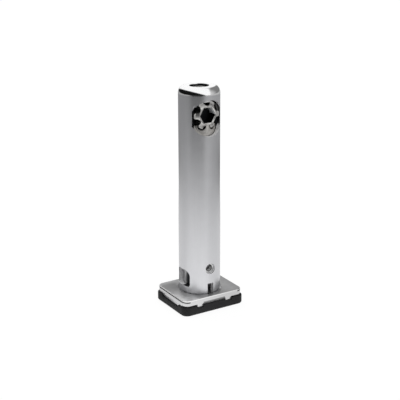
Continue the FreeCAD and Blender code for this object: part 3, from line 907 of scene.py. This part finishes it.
@dataclass
class ScrewAssembly(Assembly):
    """Spindle with its crown wheel, pin, washer and collar."""

    body: str = "screw"
    root_r: float = 2.34
    root_width: float = 0.2
    mouth_r: float = 3.0
    mouth_width: float = 0.962
    lead: float = 1.0
    turns: int = 43
    first_groove: float = 13.65
    steps: int = 32
    edge: float = 0.05
    smooth_to: float = 32.0

    def make_cutter(self) -> bpy.types.Object:
        """Coil with the thread groove's section, right-handed, with closed ends.

        Returns:
            The coil, which is used up by the cut.
        """
        depth = self.mouth_r - self.root_r
        middle = (self.mouth_r + self.root_r) / 2.0
        Bench.clear()
        bpy.ops.mesh.primitive_plane_add(size=MM, rotation=(math.pi / 2.0, 0.0, 0.0))
        coil = bpy.context.active_object
        coil.name = "thread_cutter"
        bpy.ops.object.transform_apply(location=True, rotation=True, scale=True)
        for vertex in coil.data.vertices:
            outer = vertex.co.x > 0.0
            width = self.mouth_width if outer else self.root_width
            side = math.copysign(width / 2.0, vertex.co.z)
            reach = middle + math.copysign(depth / 2.0, vertex.co.x)
            vertex.co = Vector((reach, 0.0, self.first_groove + side)) * MM
        bpy.ops.object.mode_set(mode="EDIT")
        bpy.ops.mesh.select_all(action="SELECT")
        bpy.ops.mesh.delete(type="ONLY_FACE")
        bpy.ops.object.mode_set(mode="OBJECT")
        sweep = coil.modifiers.new("thread_sweep", "SCREW")
        sweep.axis = "Z"
        sweep.angle = 2.0 * math.pi
        sweep.screw_offset = self.lead * MM
        sweep.iterations = self.turns
        sweep.steps = self.steps
        bpy.ops.object.modifier_apply(modifier=sweep.name)
        bpy.ops.object.mode_set(mode="EDIT")
        bpy.ops.mesh.select_all(action="SELECT")
        bpy.ops.mesh.remove_doubles(threshold=0.0005 * MM)
        bpy.ops.mesh.fill_holes(sides=4)
        bpy.ops.mesh.select_all(action="SELECT")
        bpy.ops.mesh.normals_make_consistent(inside=False)
        bpy.ops.object.mode_set(mode="OBJECT")
        return coil

    def cut_thread(self, shank: bpy.types.Object) -> None:
        """Cuts the groove of the thread into the shank.

        Args:
            shank: The plain spindle.
        """
        coil = self.make_cutter()
        Bench.hold(shank)
        cut = shank.modifiers.new("thread_cut", "BOOLEAN")
        cut.operation = "DIFFERENCE"
        cut.solver = "EXACT"
        cut.object = coil
        bpy.ops.object.modifier_apply(modifier=cut.name)
        bpy.data.objects.remove(coil, do_unlink=True)

    def build(self) -> None:
        """Crown wheel, cross pin, washer, collar and spindle."""
        self.recast("crown_gear", "crown_wheel", Surface.CROWN, 0.12)
        self.recast("crown_pin", "cross_pin", Surface.SPRING, 0.05)
        self.recast("thrust_washer", "thrust_ring", Surface.SPRING, 0.03)
        self.recast("spindle_collar", "neck_collar", Surface.SPINDLE, 0.08)
        shank = Bench.traced("spindle", "cut_spindle")
        Bench.eased(shank, self.edge)
        self.cut_thread(shank)
        Bench.hold(shank)
        bpy.ops.object.shade_smooth_by_angle(angle=math.radians(self.smooth_to))
        self.fit(shank, Surface.SPINDLE, "spindle")


@dataclass
class FootAssembly(Assembly):
    """Piston with its nut and ring, on the folded base and its glide pad."""

    body: str = "foot"
    seam_low: float = 4.53
    seam_high: float = 4.89
    straight_half: float = 9.2

    def in_seam(self, place: Vector, normal: Vector) -> bool:
        """Tells whether a face lies within the cap's joint line."""
        return self.seam_low < place.z < self.seam_high and abs(place.x) > self.straight_half

    def build(self) -> None:
        """Piston group, then the base from the top down."""
        self.recast("piston", "keyed_piston", Surface.PISTON, 0.08)
        self.recast("spindle_nut", "brass_nut", Surface.BRASS, 0.05)
        self.recast("friction_ring", "slide_ring", Surface.RING, 0.04)
        cap = self.recast("foot_cap", "folded_cap", Surface.PLATE, 0.14, 3)
        Bench.faced(cap, Surface.JOINT, self.in_seam)
        self.recast("foot_tray", "base_tray", Surface.PLATE, 0.08)
        self.recast("foot_screw", "clamp_screw", Surface.SPINDLE, 0.1)
        self.recast("lock_washer", "spring_washer", Surface.SPRING, 0.04)
        self.recast("foot_pad", "glide_pad", Surface.PAD, 0.12, 3)


@dataclass
class Studio:
    """Camera, pale floor and soft light; lengths in millimetres, angles in degrees."""

    azimuth: float = -31.78
    pitch: float = 17.78
    roll: float = -0.129
    distance: float = 310.2
    aim: Vector = field(default_factory=lambda: Vector((0.0, 0.0, 36.22)))
    aside: float = 0.21
    focal_px: float = 931.4
    image_px: float = 400.0
    sensor: float = 36.0
    clip_near: float = 10.0
    clip_far: float = 20000.0
    floor_half: float = 3000.0
    floor_grey: float = 0.75
    floor_white: float = 0.9
    floor_shadow: float = 0.16
    falloff: tuple[Span, ...] = ((0.0, 1.0), (90.0, 0.98), (135.0, 0.86), (165.0, 0.6), (200.0, 0.38))
    ring_from: Span = (118.0, 160.0)
    ring_to: Span = (210.0, 190.0)
    far_from: Span = (195.0, 222.0)
    front: Vector = field(default_factory=lambda: Vector((-0.666, -0.746, 0.0)))
    side: Vector = field(default_factory=lambda: Vector((0.85, -0.5267, 0.0)))
    dome: Vector = field(default_factory=lambda: Vector((0.6255, -0.0347, 0.78)))
    dome_edge: Span = (0.035, 0.135)
    dark: float = 0.006
    screen_x: Span = (0.44, 0.62)
    screen_back_y: Span = (0.82, 0.74)
    screen_front_y: Span = (-0.95, -0.05)
    screen_dim: float = 0.36
    screen_gain: float = 0.44

    def axes(self) -> tuple[Vector, Vector, Vector]:
        """Right, up and backward directions of the camera.

        Returns:
            The three directions, in that order.
        """
        turn, tilt, roll = (math.radians(a) for a in (self.azimuth, self.pitch, self.roll))
        back = Vector((math.sin(turn) * math.cos(tilt), -math.cos(turn) * math.cos(tilt), math.sin(tilt)))
        right = Vector((0.0, 0.0, 1.0)).cross(back).normalized()
        up = back.cross(right)
        return (right * math.cos(roll) + up * math.sin(roll),
                up * math.cos(roll) - right * math.sin(roll), back)

    def make_camera(self) -> None:
        """Camera at the photograph's place."""
        right, up, back = self.axes()
        lens = bpy.data.cameras.new("picture_camera")
        lens.sensor_width = self.sensor
        lens.lens = self.focal_px / self.image_px * self.sensor
        lens.clip_start = self.clip_near * MM
        lens.clip_end = self.clip_far * MM
        camera = bpy.data.objects.new("picture_camera", lens)
        bpy.context.scene.collection.objects.link(camera)
        place = (self.aim + back * self.distance + right * self.aside) * MM
        camera.matrix_world = Matrix((
            (right.x, up.x, back.x, place.x), (right.y, up.y, back.y, place.y),
            (right.z, up.z, back.z, place.z), (0.0, 0.0, 0.0, 1.0)))
        bpy.context.scene.camera = camera

    def mirrored_floor(self, graph: Graph) -> Wire:
        """Brightness of the floor in what metal mirrors, by place.

        Args:
            graph: The floor's node tree.

        Returns:
            White near the foot, greyer in a ring further out, and dark at the far end toward the camera.
        """
        x, y, _ = graph.axes(graph.place_mm())
        away = (x * x + y * y) ** 0.5
        ahead = (x * self.front.x + y * self.front.y) * (away ** -1.0)
        across = (x * self.side.x + y * self.side.y) * (away ** -1.0)
        stops = [(place * MM, grey) for place, grey in self.falloff]
        fall = graph.node("ShaderNodeValToRGB", {"stops": stops}, {0: away * MM})
        ring = away.rise(*self.ring_from) * away.rise(*self.ring_to)
        shape = 0.88 + ahead.rise(0.2, 0.97) * 0.24 - ring * (0.17 + across.rise(-0.4, 0.5) * 0.42)
        far = away.rise(*self.far_from)
        ends = 0.06 + (1.0 - ahead.rise(0.64, 0.93)) * (0.3 + across.rise(0.0, 0.9) * 0.12)
        return Wire(graph, fall.outputs[0]) * (1.0 - far) * shape + ends * far

    def make_floor(self) -> None:
        """Pale floor: white with the object's shadow to the camera, shaded in what metal mirrors."""
        Bench.clear()
        bpy.ops.mesh.primitive_plane_add(size=2.0 * self.floor_half * MM, location=(0.0, 0.0, 0.0))
        floor = bpy.context.active_object
        floor.name = "studio_floor"
        material = bpy.data.materials.new("studio_floor")
        material.use_nodes = True
        graph = Graph(material.node_tree)
        rays = graph.node("ShaderNodeLightPath")
        mirrored = self.mirrored_floor(graph)
        glow = graph.node("ShaderNodeEmission", feeds={"Color": mirrored, "Strength": 1.0})
        matt = graph.node("ShaderNodeBsdfDiffuse", feeds={"Color": (self.floor_grey,) * 3})
        shadow = graph.node("ShaderNodeBsdfDiffuse", feeds={"Color": (self.floor_shadow,) * 3})
        white = graph.node("ShaderNodeEmission", feeds={
            "Color": (self.floor_white,) * 3, "Strength": 1.0})
        paper = graph.node("ShaderNodeAddShader", feeds={
            0: Wire(graph, shadow.outputs[0]), 1: Wire(graph, white.outputs[0])})
        plain = graph.node("ShaderNodeMixShader", feeds={
            0: Wire(graph, rays.outputs["Is Camera Ray"]),
            1: Wire(graph, matt.outputs[0]), 2: Wire(graph, paper.outputs[0])})
        both = graph.node("ShaderNodeMixShader", feeds={
            0: Wire(graph, rays.outputs["Is Glossy Ray"]),
            1: Wire(graph, plain.outputs[0]), 2: Wire(graph, glow.outputs[0])})
        graph.node("ShaderNodeOutputMaterial", feeds={"Surface": Wire(graph, both.outputs[0])})
        floor.data.materials.append(material)

    def toward(self, graph: Graph, place: Wire, direction: Vector) -> Wire:
        """Cosine between a ray and a fixed direction."""
        node = graph.node("ShaderNodeVectorMath", {"operation": "DOT_PRODUCT"},
                          {0: place, 1: tuple(direction.normalized())})
        return Wire(graph, node.outputs["Value"])

    def make_world(self) -> None:
        """White tent, dark toward the camera, with a grey screen on the right."""
        world = bpy.data.worlds.new("studio_tent")
        bpy.context.scene.world = world
        world.use_nodes = True
        graph = Graph(world.node_tree)
        ray = Wire(graph, graph.node("ShaderNodeTexCoord").outputs["Generated"])
        x, y, _ = graph.axes(ray)
        tent = self.toward(graph, ray, self.dome).rise(*self.dome_edge)
        screen = x.rise(*self.screen_x) * y.rise(*self.screen_back_y)
        screen = screen * (self.screen_dim + y.rise(*self.screen_front_y) * self.screen_gain)
        bright = self.dark + tent * (1.0 - self.dark - screen)
        seen = Wire(graph, graph.node("ShaderNodeLightPath").outputs["Is Camera Ray"])
        light = graph.node("ShaderNodeBackground", feeds={"Color": seen.most(bright), "Strength": 1.0})
        graph.node("ShaderNodeOutputWorld", feeds={"Surface": Wire(graph, light.outputs[0])})

    def build(self) -> None:
        """Camera, floor, world and colour handling."""
        self.make_camera()
        self.make_floor()
        self.make_world()
        bpy.context.scene.view_settings.view_transform = "Standard"


def main() -> None:
    """Loads the frame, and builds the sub-assemblies and the studio."""
    logging.basicConfig(level=logging.INFO, format="%(name)s: %(message)s")
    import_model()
    Bench.clear()
    for assembly in (TubeAssembly(), DriveAssembly(), ScrewAssembly(), FootAssembly()):
        assembly.build()
        LOG.info("%s is done with %d pieces", assembly.body, len(assembly.pieces))
    Studio().build()


if __name__ == "__main__":
    main()
